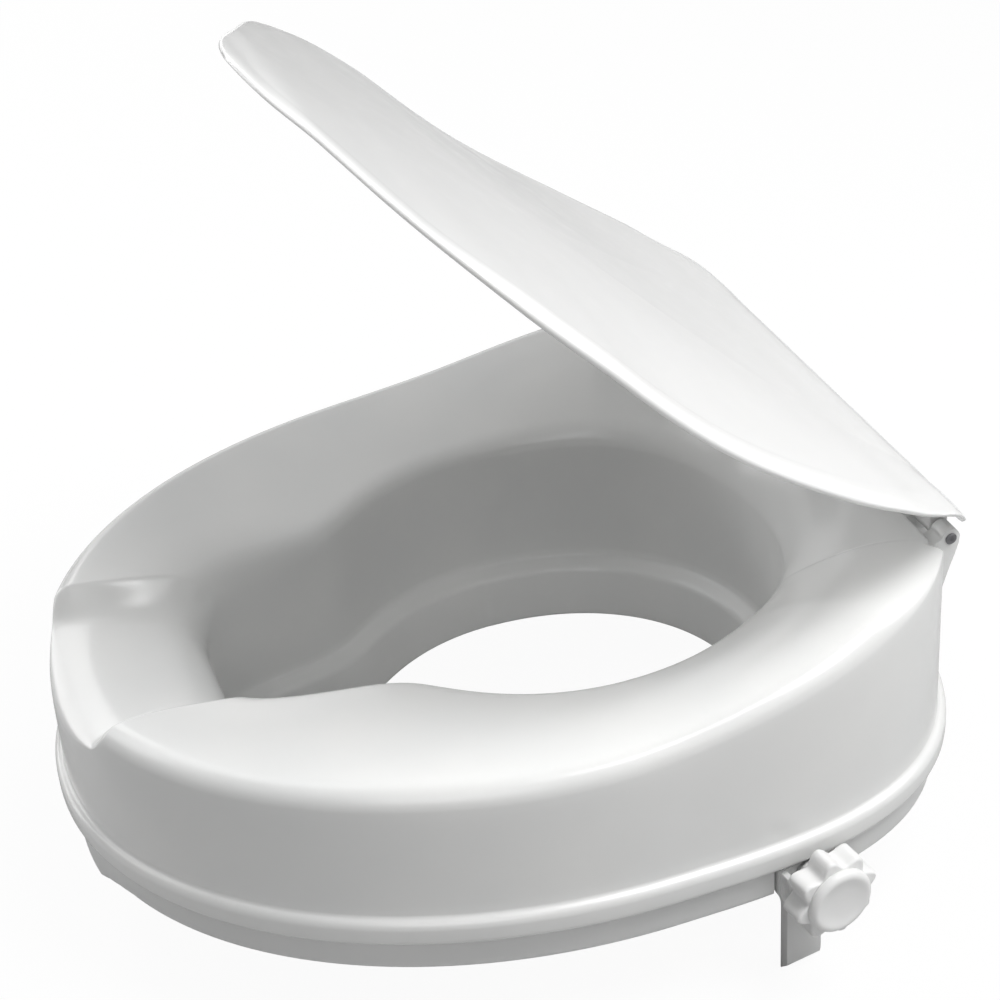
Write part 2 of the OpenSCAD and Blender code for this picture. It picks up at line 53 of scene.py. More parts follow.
REAR_CREST_Z, CREST_Y = 118.5, 148.0
INNER_EDGE_Z = 84.2
SHELF_Z = 105.0                                  # shelf behind the rear crest
BEAD_Z = 16.6                                    # underside of the bead round the foot
WALL = 3.0
SPIGOT = 20.0                                    # reach of the opening's wall below the plate
OPEN_HALF, OPEN_REAR, OPEN_FRONT, OPEN_Y = 105.0, 115.0, 106.0, 8.0
TONGUE_HALF, TONGUE_REACH, TONGUE_POWER = 60.0, 160.0, 5.0  # front extension of the opening
RECESS_HALF, RECESS_Z = 14.9, 79.0               # front recess: half angle in degrees, floor

PLATE, SKIRT_INSET, PAD, FRONT_LUG = 4.0, 5.3, 3.0, 11.0
SKIRT_Z = 16.5

PIN_Y, PIN_Z, PIN_D = 160.3, 114.2, 4.6
EAR_R = 4.6                                      # round ends of the bosses and knuckles
CLAMP_TILT = 9.0                                 # degrees
CLAMP_X, CLAMP_Y, CLAMP_Z = 171.5, 61.0, 9.2
STUD_D, WHEEL_D, LOBES, CROWN_D = 6.0, 41.0, 8, 31.0
WHEEL_OUT = 22.0                                 # outer face of the wheel along the stud
ARM_W, ARM_DROP, ARM_SHIFT = 18.0, 47.5, -1.2

LID_OPEN, LID_REST, CLOSED_SLOPE = 44.3, 0.5, 4.4  # degrees
LID_BACK_Y, LID_BACK_Z = 158.57, 123.47
LID_HALF, LID_LENGTH, LID_TAIL = 169.0, 362.0, 4.0
LID_MID = 205.0                                  # centre of the lid's outline from its back edge
LID_T = 3.0
LID_FLAT = 0.93                                  # share of the radius where the lip begins

SHIFT = np.array([0.0, (FRONT_LENGTH - REAR_LENGTH) / 2, ARM_DROP])
SIDES = (("left", 1), ("right", -1))


# ------------------------------------------------------------------ blending functions
def smooth(share):
    share = np.clip(share, 0, 1)
    return share * share * (3 - 2 * share)


def mix(start, end, share):
    return start + (end - start) * share


def bell(value, centre, width):
    return np.exp(-((value - centre) / width) ** 2)


def soft_ramp(value):
    """Zero well below 0 and the value itself well above, with a 20 mm rounding between."""
    return np.where(value > 120, value, 20 * np.log1p(np.exp(np.minimum(value, 400) / 20)))


def arc(run):
    """Height of a unit quarter circle."""
    return np.sqrt(np.clip(1 - run * run, 0, 1))


def spread(angles, end, weights, count):
    """Picks count angles at equal steps of the summed weights."""
    total = np.concatenate([[0], np.cumsum(weights)])
    return np.interp(np.arange(count) * total[-1] / count, total, np.append(angles, end))


# ------------------------------------------------------------------ outlines, as polar radii
def superellipse(angle, half, reach, power):
    across, along = np.abs(np.cos(angle) / half), np.abs(np.sin(angle) / reach)
    return (across ** power + along ** power) ** (-1 / power)


def outer_radius(angle):
    front = np.sin(angle) < 0
    return superellipse(angle, HALF_WIDTH, np.where(front, FRONT_LENGTH, REAR_LENGTH),
                        np.where(front, FRONT_POWER, REAR_POWER))


def hole_radius(angle):
    rear = superellipse(angle, OPEN_HALF, OPEN_REAR, 2.1)
    front = superellipse(angle, OPEN_HALF, OPEN_FRONT, 2)
    tongue = superellipse(angle, TONGUE_HALF, TONGUE_REACH, TONGUE_POWER)
    return np.where(np.sin(angle) >= 0, rear, (front ** 10 + tongue ** 10) ** 0.1)


def outline(radius_of, centre_y):
    """Point, outward normal and inset point functions of a closed outline."""
    def point(angle):
        radius = radius_of(angle)
        return np.stack([radius * np.cos(angle), centre_y + radius * np.sin(angle)], -1)

    def normal(angle):
        edge = point(angle + 1e-3) - point(angle - 1e-3)
        edge /= np.linalg.norm(edge, axis=-1, keepdims=True)
        return np.stack([edge[..., 1], -edge[..., 0]], -1)

    def inset(angle, depth):
        return point(angle) - normal(angle) * np.asarray(depth, float)[..., None]
    return point, normal, inset


outer_point, outer_normal, outer_inset = outline(outer_radius, 0.0)
hole_point, _, hole_inset = outline(hole_radius, OPEN_Y)


def from_front(angle):
    """Degrees away from the front, either way."""
    return np.abs((np.degrees(angle) + 270) % 360 - 180)


# ------------------------------------------------------------------ top surface of the seat
# A share runs 0..1 from the outer rim to the inner one.
# A station is 0 at the outer rim, 1 on the crest and 2 at the inner rim.
def rim_outer(angle):
    return outer_inset(angle, 5.2)


def rim_inner(angle):
    return hole_inset(angle, -2.0)


def rim_width(angle):
    return np.linalg.norm(rim_outer(angle) - rim_inner(angle), axis=-1)


def recess(angle, share):
    """Weight of the front recess, fading over a tail that widens inwards."""
    tail = 3.4 + 6 * share
    limit = RECESS_HALF + 0.8 + 3.4 * share * share
    fade = np.clip((from_front(angle) - limit + tail) / tail, 0, 1)
    return (1 - fade ** 2.2) ** 1.6


def recess_z(angle, share):
    side = np.clip(from_front(angle) / RECESS_HALF, 0, 1) ** 2
    floor_z = RECESS_Z + 2 * side
    roll = (12 - 11 * side) * (1 - arc(1 - share / 0.3))
    inward = np.clip((share - 0.3) / 0.7, 0, 1)
    return np.where(share < 0.3, floor_z - roll, floor_z - 7.5 * inward ** 2 - 2 * side * inward)


def shelf(angle):
    """Weight of the rear shelf, full to 115 mm either side of the middle."""
    return np.where(np.sin(angle) > 0, smooth((120 - np.abs(rim_outer(angle)[..., 0])) / 5), 0.0)


def side_z(angle):
    rise = EDGE_SLOPE * soft_ramp(outer_point(angle)[..., 1] + 9)
    return np.minimum(EDGE_FRONT_Z + rise, REAR_CREST_Z - 2)


def edge_z(angle):
    return mix(side_z(angle), SHELF_Z, shelf(angle))


def crest_z(angle):
    return mix(np.minimum(side_z(angle) + SHOULDER, REAR_CREST_Z), REAR_CREST_Z, shelf(angle))


def crest_share(angle):
    """The crest is 10 mm in from the outer rim, and straight across at CREST_Y by the shelf."""
    rear = np.sin(angle) > 0
    outer_y, inner_y = rim_outer(angle)[..., 1], rim_inner(angle)[..., 1]
    straight = np.where(rear, (outer_y - CREST_Y) / np.where(rear, outer_y - inner_y, 1), 0)
    return mix(10 / rim_width(angle), straight, shelf(angle))


def rim_share(angle, station):
    crest = crest_share(angle)
    return np.where(station <= 1, crest * station, crest + (1 - crest) * (station - 1))


def fall_power(angle):
    rear = np.sin(angle) > 0
    return 1.7 - 0.2 * smooth((150 - np.abs(rim_outer(angle)[..., 0])) / 90) * rear


def top_z(angle, station):
    outward, inward = np.clip(station, 0, 1), np.clip(station - 1, 0, 1)
    shoulder = mix(edge_z(angle), crest_z(angle), arc(1 - outward))
    step = mix(SHELF_Z, REAR_CREST_Z, smooth((outward - 0.62) / 0.38))
    rise = mix(shoulder, step, shelf(angle))
    inner_z = INNER_EDGE_Z + 2.5 * bell(hole_point(angle)[..., 1], 75, 32)
    fall = crest_z(angle) - (crest_z(angle) - inner_z) * inward ** fall_power(angle)
    share = rim_share(angle, station)
    surface = np.where(station <= 1, rise, fall)
    return mix(surface, recess_z(angle, share), recess(angle, share))


def lift(plan, height):
    """Plan points given a height."""
    return np.concatenate([plan, (height * np.ones(plan.shape[:-1]))[..., None]], -1)


def top_ring(angle, station, below=0):
    plan = mix(rim_outer(angle), rim_inner(angle), rim_share(angle, station)[..., None])
    return lift(plan, top_z(angle, station) - below)


def roll_radius(angle):
    """Rounding into the opening, larger at the front."""
    return mix(8.0, 20.0, smooth((42 - from_front(angle)) / 24))


def roll_start(angle):
    """Station where the top begins to round into the opening."""
    crest = crest_share(angle)
    return 1 + (1 - (roll_radius(angle) - 2) / rim_width(angle) - crest) / (1 - crest)


def roll_ring(angle, along):
    """Rounding from the rim into the opening: along is 0 on the rim, 1 on the wall."""
    start = top_ring(angle, roll_start(angle))
    before = top_ring(angle, roll_start(angle) - 0.03)
    wall = hole_inset(angle, 1.5)
    slope = (start[..., 2] - before[..., 2]) / np.linalg.norm((start - before)[..., :2], axis=-1)
    corner_z = start[..., 2] + slope * np.linalg.norm(wall - start[..., :2], axis=-1)
    corner, end = lift(wall, corner_z), lift(wall, corner_z - roll_radius(angle) * 0.9)
    return start * (1 - along) ** 2 + corner * 2 * along * (1 - along) + end * along * along


# ------------------------------------------------------------------ objects from solids
def to_bm(points, faces, solid=None):
    """Adds points and faces to a bmesh, a new one unless given."""
    solid = solid or bmesh.new()
    verts = [solid.verts.new(point) for point in np.asarray(points, float).tolist()]
    for face in faces:
        solid.faces.new([verts[k] for k in face])
    return solid


def positions(solid):
    return np.array([vert.co[:] for vert in solid.verts])


def row_metres(points):
    return (points + SHIFT) / 1000


def to_row(solid, place=lambda points: points):
    """Maps a solid from its own coordinates to row-frame metres."""
    for vert, point in zip(solid.verts, row_metres(place(positions(solid))).tolist()):
        vert.co = point
    return solid


def append_placed(solid, place, target):
    """Moves a solid into another bmesh through a placing function."""
    solid.verts.index_update()
    faces = [[vert.index for vert in face.verts] for face in solid.faces]
    to_bm(place(positions(solid)), faces, target)
    solid.free()


def add_object(name, solid, slot, body, node, sharp=None):
    """Riding object from a solid in row-frame metres, in place of a CAD node."""
    bmesh.ops.recalc_face_normals(solid, faces=solid.faces)
    mesh = bpy.data.meshes.new(name)
    solid.to_mesh(mesh)
    solid.free()
    mesh.validate()
    mesh.update()
    mesh.polygons.foreach_set("use_smooth", [True] * len(mesh.polygons))
    if sharp:
        mesh.set_sharp_from_angle(angle=rad(sharp))
    mesh.materials.append(MATERIALS[slot])
    obj = bpy.data.objects.new(name, mesh)
    bpy.context.scene.collection.objects.link(obj)
    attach(obj, body)
    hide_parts(node)


def add_mesh(name, points, faces, slot, body, node, sharp=None):
    add_object(name, to_bm(row_metres(points), faces), slot, body, node, sharp)


def rings_at(inset, angle, stations):
    """One ring for each (inset, height)."""
    return [lift(inset(angle, depth), height) for depth, height in stations]


def ring_solid(rings):
    """Points and quads of a skin closed both round the rings and from the last to the first."""
    points = np.stack(rings, 1)
    n, m = points.shape[:2]
    faces = [(i * m + j, (i + 1) % n * m + j, (i + 1) % n * m + (j + 1) % m, i * m + (j + 1) % m)
             for i in range(n) for j in range(m)]
    return points.reshape(-1, 3), faces


# ------------------------------------------------------------------ materials
# Sockets of the Mix node that carry colour.
MIX_A, MIX_B, MIX_RESULT = 6, 7, 2


def cleared_tree(block):
    block.use_nodes = True
    block.node_tree.nodes.clear()
    return block.node_tree


def add_node(tree, kind, inputs=None, **settings):
    """Node with its inputs set from values, or linked from sockets or first outputs of nodes."""
    node = tree.nodes.new("ShaderNode" + kind)
    for key, value in settings.items():
        setattr(node, key, value)
    for key, value in (inputs or {}).items():
        if isinstance(value, bpy.types.Node):
            value = value.outputs[0]
        if isinstance(value, bpy.types.NodeSocket):
            tree.links.new(value, node.inputs[key])
        else:
            node.inputs[key].default_value = value
    return node


def noise(tree, coord, scale, detail, rough=0.5):
    return add_node(tree, "TexNoise", {"Vector": coord, "Scale": scale, "Detail": detail,
                                       "Roughness": rough})


def remap(tree, value, low, high, to_low, to_high):
    return add_node(tree, "MapRange", {"Value": value, "From Min": low, "From Max": high,
                                       "To Min": to_low, "To Max": to_high})


def mix_colour(tree, factor, first, second):
    inputs = {0: factor, MIX_A: (*first, 1), MIX_B: (*second, 1)}
    return add_node(tree, "Mix", inputs, data_type="RGBA").outputs[MIX_RESULT]


def bump(tree, height, strength, distance, under=None):
    inputs = {"Height": height, "Strength": strength, "Distance": distance}
    if under:
        inputs["Normal"] = under
    return add_node(tree, "Bump", inputs)


def start_material(name):
    """New material, its tree and the object coordinates."""
    material = bpy.data.materials.new(name)
    tree = cleared_tree(material)
    return material, tree, add_node(tree, "TexCoord").outputs["Object"]


def finish_material(tree, inputs):
    add_node(tree, "OutputMaterial", {0: add_node(tree, "BsdfPrincipled", inputs)})


def tinted(colour, factor):
    return [channel * factor for channel in colour]


def plastic(name, colour, drift, rough_low, rough_high, peel, wave):
    """Moulded plastic: slow colour drift and waviness, fine orange peel, uneven gloss."""
    material, tree, coord = start_material(name)
    slow = noise(tree, coord, scale=14, detail=2)
    fine = noise(tree, coord, scale=900, detail=2)
    rub = noise(tree, coord, scale=60, detail=6, rough=0.65)
    base = mix_colour(tree, remap(tree, slow, 0.3, 0.7, 0, 1), colour, drift)
    waves = bump(tree, slow, strength=wave, distance=0.004)
    finish_material(tree, {
        "Base Color": base,
        "Roughness": remap(tree, rub, 0.3, 0.75, rough_low, rough_high),
        "Normal": bump(tree, fine, strength=peel, distance=0.0002, under=waves),
        "IOR": 1.5})
    return material


def rubber(name, colour):
    """Matt rubber with a fine grain."""
    material, tree, coord = start_material(name)
    grain = noise(tree, coord, scale=700, detail=3)
    drift = noise(tree, coord, scale=40, detail=3)
    finish_material(tree, {
        "Base Color": mix_colour(tree, drift, tinted(colour, 0.8), tinted(colour, 1.15)),
        "Roughness": remap(tree, drift, 0.3, 0.7, 0.62, 0.85),
        "Normal": bump(tree, grain, strength=0.25, distance=0.0003)})
    return material


def steel(name, colour, rough):
    """Steel with its grain squeezed along z."""
    material, tree, coord = start_material(name)
    squeezed = add_node(tree, "Mapping", {"Vector": coord, "Scale": (1, 1, 60)})
    grain = noise(tree, squeezed, scale=220, detail=4)
    finish_material(tree, {
        "Base Color": mix_colour(tree, grain, tinted(colour, 0.85), colour),
        "Roughness": remap(tree, grain, 0.3, 0.7, rough * 0.8, rough * 1.3),
        "Metallic": 1,
        "Normal": bump(tree, grain, strength=0.08, distance=0.0002)})
    return material


# name, colour, colour it drifts to, lowest and highest roughness, orange peel, waviness
PLASTICS = (
    ("seat_white", (0.80, 0.80, 0.79), (0.76, 0.765, 0.76), 0.16, 0.26, 0.04, 0.03),
    # lid: the seat's white plastic, set lighter as painted light for the brighter light the open lid
    # catches
    ("lid_white", (0.93, 0.93, 0.925), (0.915, 0.915, 0.91), 0.10, 0.16, 0.02, 0.008),
    ("base_white", (0.74, 0.74, 0.735), (0.70, 0.705, 0.70), 0.3, 0.45, 0.08, 0.04),
    ("clamp_white", (0.72, 0.72, 0.715), (0.68, 0.685, 0.68), 0.38, 0.5, 0.15, 0.05),
    ("knob_white", (0.84, 0.84, 0.835), (0.80, 0.80, 0.795), 0.32, 0.46, 0.12, 0.04),
)
MATERIALS = {row[0]: plastic(*row) for row in PLASTICS}
MATERIALS["grip_rubber"] = rubber("grip_rubber", colour=(0.045, 0.047, 0.05))
MATERIALS["buffer_rubber"] = rubber("buffer_rubber", colour=(0.62, 0.62, 0.61))
MATERIALS["pin_steel"] = steel("pin_steel", colour=(0.24, 0.24, 0.25), rough=0.42)
MATERIALS["screw_steel"] = steel("screw_steel", colour=(0.62, 0.62, 0.63), rough=0.3)


# ------------------------------------------------------------------ seat moulding
# Where stations crowd along the outline: degrees, extra weight, width in degrees.
CROWDING = ((-90 - RECESS_HALF, 9, 2.2), (-90 + RECESS_HALF, 9, 2.2), (-90 - 9, 3, 6),
            (-90 + 9, 3, 6), (55, 6, 4), (125, 6, 4))


def station_angles(count):
    """Angles round the outline, closer at the recess creases and the rear corners."""
    angles = np.linspace(-math.pi, math.pi, 4001)[:-1]
    weights = 1 + sum(extra * bell(np.degrees(angles), centre, width)
                      for centre, extra, width in CROWDING)
    return spread(angles, math.pi, weights, count)


def degrees_range(first, last, count):
    return np.radians(np.linspace(first, last, count))


def seat_mesh():
    angle = station_angles(420)
    inner_z, outer_z = top_z(angle, 2.0), top_z(angle, 0.0)
    # bead: a rounded bar proud of the wall, with a small radius under and over it
    bead = [(4.4, BEAD_Z)]
    bead += [(3.2 * (1 - math.cos(q)), 20.4 + 3.8 * math.sin(q)) for q in degrees_range(-80, 0, 7)]
    bead += [(3.4 * (1 - math.cos(q)), 25.4 + 4.2 * math.sin(q)) for q in degrees_range(0, 78, 8)]
    bead += [(3.9, 30.1), (4.15, 31.2)]
    side = [(4.2 + 0.7 * k, mix(31.2, outer_z, k)) for k in (0.1, 0.3, 0.55, 0.8)]
    side += [(4.9 + 2.2 * (k - 0.9), mix(31.2, outer_z, k)) for k in (0.92, 0.97)]
    rings = rings_at(outer_inset, angle, bead + side)
    # top, then the rounding into the opening
    rings += [top_ring(angle, 1 - math.cos(q)) for q in degrees_range(0, 90, 15)]
    start = roll_start(angle)
    rings += [top_ring(angle, 1 + (start - 1) * k) for k in np.linspace(0.035, 1, 28)]
    rings += [roll_ring(angle, k) for k in np.linspace(0.09, 1, 12)]
    wall_z = rings[-1][..., 2]
    # wall of the opening, the step at its foot, the spigot and the way back up inside
    opening = [(mix(1.5, 0.2, k), mix(wall_z, 12.5, k)) for k in (0.12, 0.3, 0.55, 0.78, 0.95)]
    opening += [(0.25, 11.2), (0.9, 10.3), (2.2, 9.6), (5.6, 7.8), (7.3, 6.8), (8.1, 5.8),
                (8.5, 4.0)]
    opening += [(mix(8.6, 12, k), mix(2.5, -SPIGOT, k)) for k in (0.3, 0.6, 0.93)]
    opening += [(11.7, -SPIGOT + 0.5), (11.0, -SPIGOT), (9.7, -SPIGOT), (9.1, -SPIGOT + 0.6),
                (5.6, 1.5), (-WALL, 6.5), (0.6 - WALL, 30), (1.2 - WALL, inner_z - 11)]
    rings += rings_at(hole_inset, angle, opening)
    # hollow underside and the inner face of the outer wall
    rings += [top_ring(angle, k, below=WALL + 0.8) for k in (1.74, 1.5, 1.25, 1, 0.75, 0.4)]
    rings += rings_at(outer_inset, angle,
                      [(5.4 + WALL, outer_z - 1.5), (4.2 + WALL, 50), (4.4 + WALL, BEAD_Z)])
    return ring_solid(rings)


add_mesh("seat_moulding", *seat_mesh(), "seat_white", "seat", "seat_shell")


# ------------------------------------------------------------------ lid
# Lid coordinates: x across, along from its back edge, height above its own plane.
# Swells of the edge: height, centre, width. Steps of the edge: height, start, length.
LID_SWELLS = ((5.8, 28, 22), (1.9, 64, 20), (-11, 172, 85), (-0.6, 332, 45))
LID_STEPS = ((-1.7, 225, 45), (-1.2, 332, 16))


def lid_radius(angle):
    sin = np.sin(angle)
    front = sin > 0
    reach = np.where(front, LID_LENGTH - LID_TAIL - LID_MID, 240.0)
    radius = superellipse(angle, LID_HALF, reach, np.where(front, 2.0, 2.6))
    # the front corners are drawn in, and the back is cut straight
    off_nose = np.abs(np.degrees(np.arctan2(sin, np.cos(angle))) - 90)
    back = (LID_MID + LID_TAIL) / np.maximum(-sin, 0.01)
    return np.where(sin < -0.01, np.minimum(radius, back),
                    radius * (1 - 0.073 * bell(off_nose, 29, 21)))


def lid_edge(along):
    return (sum(height * bell(along, centre, width) for height, centre, width in LID_SWELLS)
            + sum(height * smooth((along - start) / length) for height, start, length in LID_STEPS)
            - 1.6)


def lid_lip(along):
    return 3 + 3 * smooth((along - 10) / 90) - 2.6 * smooth((along - 260) / 45)


def lid_top(share, along):
    """Height of the outer face at a share of the radius: a dish, then the rounded lip."""
    middle, lip = 1.5 + bell(along, 10, 60), lid_lip(along)
    edge = lid_edge(along) + lip
    roll = (lip - 2) * (1 - arc(np.clip(share - LID_FLAT, 0, 1) / (1 - LID_FLAT)))
    return np.where(share <= LID_FLAT, mix(middle, edge, (share / LID_FLAT) ** 2), edge - roll)


def swing(x, y, z):
    """Turns closed points about the hinge pin to the open rest pose."""
    turn = rad(-LID_OPEN - LID_REST)
    dy, dz = y - PIN_Y, z - PIN_Z
    return np.stack([x, PIN_Y + dy * math.cos(turn) - dz * math.sin(turn),
                     PIN_Z + dy * math.sin(turn) + dz * math.cos(turn)], -1)


def lid_place(x, along, height):
    """Lid coordinates to the seat's own frame at the rest pose."""
    cos, sin = math.cos(rad(CLOSED_SLOPE)), math.sin(rad(CLOSED_SLOPE))
    return swing(x, LID_BACK_Y - along * cos + height * sin,
                 LID_BACK_Z - along * sin + height * cos)


def lid_ring(angle, share, below=0.0, above_edge=None):
    """Ring at a share of the radius, set below the outer face or above the lid's edge."""
    radius = lid_radius(angle) * share
    along = LID_MID + radius * np.sin(angle)
    if above_edge is None:
        height = lid_top(share, along) - below
    else:
        height = lid_edge(along) + above_edge
    return lid_place(radius * np.cos(angle), along, height)


LID_OUTER = (*np.linspace(0.05, 0.89, 21), 0.91, 0.922, 0.93, 0.936, 0.944, 0.952, 0.96, 0.968,
             0.976, 0.983, 0.989, 0.9935, 0.997, 0.999, 1.0)
# share of the radius, height above the edge
LID_RIM = ((0.9995, 1.2), (0.997, 0.35), (0.99, 0.0), (0.98, 0.0), (0.973, 0.4))
LID_INNER = (0.965, 0.95, 0.925, 0.87, 0.8, 0.7, 0.6, 0.5, 0.4, 0.3, 0.2, 0.1, 0.05)


def lid_mesh():
    n = 400
    angles = np.linspace(0, 2 * math.pi, 4001)[:-1]
    radius = lid_radius(angles)
    points = np.stack([radius * np.cos(angles), radius * np.sin(angles)], -1)
    steps = np.linalg.norm(np.roll(points, -1, 0) - points, axis=1)
    angle = spread(angles, 2 * math.pi, steps + 0.02, n)
    rings = [lid_ring(angle, share) for share in LID_OUTER]
    rings += [lid_ring(angle, share, above_edge=height) for share, height in LID_RIM]
    rings += [lid_ring(angle, share, below=LID_T) for share in LID_INNER]
    m = len(rings)
    centre = np.zeros(1)
    verts = np.concatenate([np.stack(rings, 1).reshape(-1, 3), lid_ring(centre, 0.0),
                            lid_ring(centre, 0.0, below=LID_T)])
    top, under = n * m, n * m + 1
    # start of each row of points and of the row after it
    rows = [(i * m, (i + 1) % n * m) for i in range(n)]
    faces = [(row + j, row + j + 1, after + j + 1, after + j)
             for row, after in rows for j in range(m - 1)]
    faces += [(top, row, after) for row, after in rows]
    faces += [(under, after + m - 1, row + m - 1) for row, after in rows]
    return verts, faces


add_mesh("lid_moulding", *lid_mesh(), "lid_white", "lid", "lid_shell")


# ------------------------------------------------------------------ turned, cut and bevelled solids
def lathe(profile, n, lobe=None):
    """Solid turned about z from (radius, height[, lobe weight]); a radius of 0 is a pole."""
    verts, rows = [], []
    for entry in profile:
        radius, height, weight = (*entry, 0.0)[:3]
        rows.append(len(verts))
        if radius == 0:
            verts.append((0, 0, height))
            continue
        for i in range(n):
            angle = 2 * math.pi * i / n
            reach = radius + (weight * lobe(angle) if lobe else 0)
            verts.append((reach * math.cos(angle), reach * math.sin(angle), height))
    faces = []
    for k in range(len(profile) - 1):
        low, high = rows[k], rows[k + 1]
        for i in range(n):
            j = (i + 1) % n
            if profile[k][0] == 0:
                faces.append((low, high + i, high + j))
            elif profile[k + 1][0] == 0:
                faces.append((low + i, high, low + j))
            else:
                faces.append((low + i, high + i, high + j, low + j))
    return np.array(verts, float), faces


def rect(u0, v0, u1, v1):
    return [(u0, v0), (u1, v0), (u1, v1), (u0, v1)]


def disc(radius, u, v, n=48):
    turns = [2 * math.pi * i / n for i in range(n)]
    return [(u + radius * math.cos(q), v + radius * math.sin(q)) for q in turns]


def arc_points(radius, u, v, degrees):
    return [(u + radius * math.cos(rad(q)), v + radius * math.sin(rad(q))) for q in degrees]


def round_poly(corners, radii, n=6):
    """Polygon with its corners rounded; radii is one number or one for each corner."""
    points, m = [], len(corners)
    for i, corner in enumerate(corners):
        radius = radii[i] if isinstance(radii, list) else radii
        corner = Vector(corner)
        back, ahead = Vector(corners[i - 1]) - corner, Vector(corners[(i + 1) % m]) - corner
        cut = min(radius, 0.45 * back.length, 0.45 * ahead.length)
        start, end = corner + back.normalized() * cut, corner + ahead.normalized() * cut
        for k in range(n + 1):
            f = k / n
            points.append(tuple(start * (1 - f) ** 2 + corner * 2 * f * (1 - f) + end * f * f))
    return points


def prism(poly, h0, h1, order="uvh", solid=None):
    """Extruded polygon; order says which of u, v, h goes to each axis."""
    m = len(poly)
    verts = [{"u": u, "v": v, "h": h} for h in (h0, h1) for u, v in poly]
    verts = [tuple(point[axis] for axis in order) for point in verts]
    faces = [tuple(range(m)), tuple(range(2 * m - 1, m - 1, -1))]
    faces += [(i, (i + 1) % m, m + (i + 1) % m, m + i) for i in range(m)]
    return to_bm(verts, faces, solid)


def temporary_object(solid):
    bmesh.ops.recalc_face_normals(solid, faces=solid.faces)
    mesh = bpy.data.meshes.new("tmp")
    solid.to_mesh(mesh)
    solid.free()
    obj = bpy.data.objects.new("tmp", mesh)
    bpy.context.scene.collection.objects.link(obj)
    return obj


def combine(solid, *steps):
    """Exact booleans of a solid with each (operation, solid) in turn."""
    base = temporary_object(solid)
    objects = [base]
    for operation, tool in steps:
        objects.append(temporary_object(tool))
        modifier = base.modifiers.new("m", "BOOLEAN")
        modifier.operation = operation
        modifier.solver = "EXACT"
        modifier.object = objects[-1]
    depsgraph = bpy.context.evaluated_depsgraph_get()
    mesh = bpy.data.meshes.new_from_object(base.evaluated_get(depsgraph))
    result = bmesh.new()
    result.from_mesh(mesh)
    bpy.data.meshes.remove(mesh)
    for obj in objects:
        mesh = obj.data
        bpy.data.objects.remove(obj)
        bpy.data.meshes.remove(mesh)
    bmesh.ops.remove_doubles(result, verts=result.verts, dist=1e-4)
    bmesh.ops.dissolve_limit(result, angle_limit=rad(0.6), verts=result.verts, edges=result.edges)
    return result


def soften(solid, width, segments=3, over=30):
    """Rounds every edge sharper than the given angle."""
    edges = [edge for edge in solid.edges
             if len(edge.link_faces) == 2 and edge.calc_face_angle(0) > rad(over)]
    bmesh.ops.bevel(solid, geom=edges, offset=width, offset_type="OFFSET", segments=segments,
                    profile=0.5, affect="EDGES", clamp_overlap=True)
    return solid


def plan_map(centre, cos, sin):
    """Turns points in plan and carries them to a centre."""
    return lambda p: np.stack([centre[0] + p[:, 0] * cos - p[:, 1] * sin,
                               centre[1] + p[:, 0] * sin + p[:, 1] * cos, p[:, 2]], -1)


def clamp_map(side):
    """From (out along the stud, along the seat, up) at the clamp."""
    cos, sin = math.cos(rad(CLAMP_TILT)), math.sin(rad(CLAMP_TILT))
    return lambda p: np.stack([side * (CLAMP_X + p[..., 0] * cos - p[..., 1] * sin),
                               CLAMP_Y + p[..., 0] * sin + p[..., 1] * cos,
                               CLAMP_Z + p[..., 2]], -1)


# ------------------------------------------------------------------ base plate with its skirt
PAD_ANGLES = (28, 152, 222, 318)
PEG_R = 2.5          # peg that holds a pad in the plate
SCREW_DEPTH = 2.6    # screw sockets in the underside
# Foot of the skirt: inset past SKIRT_INSET, height, share of the front lug's drop.
SKIRT_FOOT = (
    (0.4, SKIRT_Z, 0), (0.12, 16.2, 0), (0.0, 15.6, 0), (0.0, 10.0, 0), (0.08, 4.0, 0.4),
    (0.2, 1.6, 0.9), (0.4, 0.7, 1), (0.8, 0.15, 1), (1.3, 0.0, 1), (2.2, 0.0, 1),
    (2.7, 0.12, 1), (2.95, 0.5, 1))
# Section of a groove: share of the plate's width from its middle, depth.
GROOVE = ((-0.03, 0.0), (-0.022, 0.15), (-0.016, 0.7), (-0.008, 0.9),
          (0.008, 0.9), (0.016, 0.7), (0.022, 0.15), (0.03, 0.0))


def screw_centre(i):
    return outer_inset(np.array([rad(i * 45.0)]), 14.0)[0]


def pad_frame(degrees):
    """Centre of a pad and the outward normal there."""
    angle = np.array([rad(degrees)])
    return outer_inset(angle, 32.0)[0], outer_normal(angle)[0]


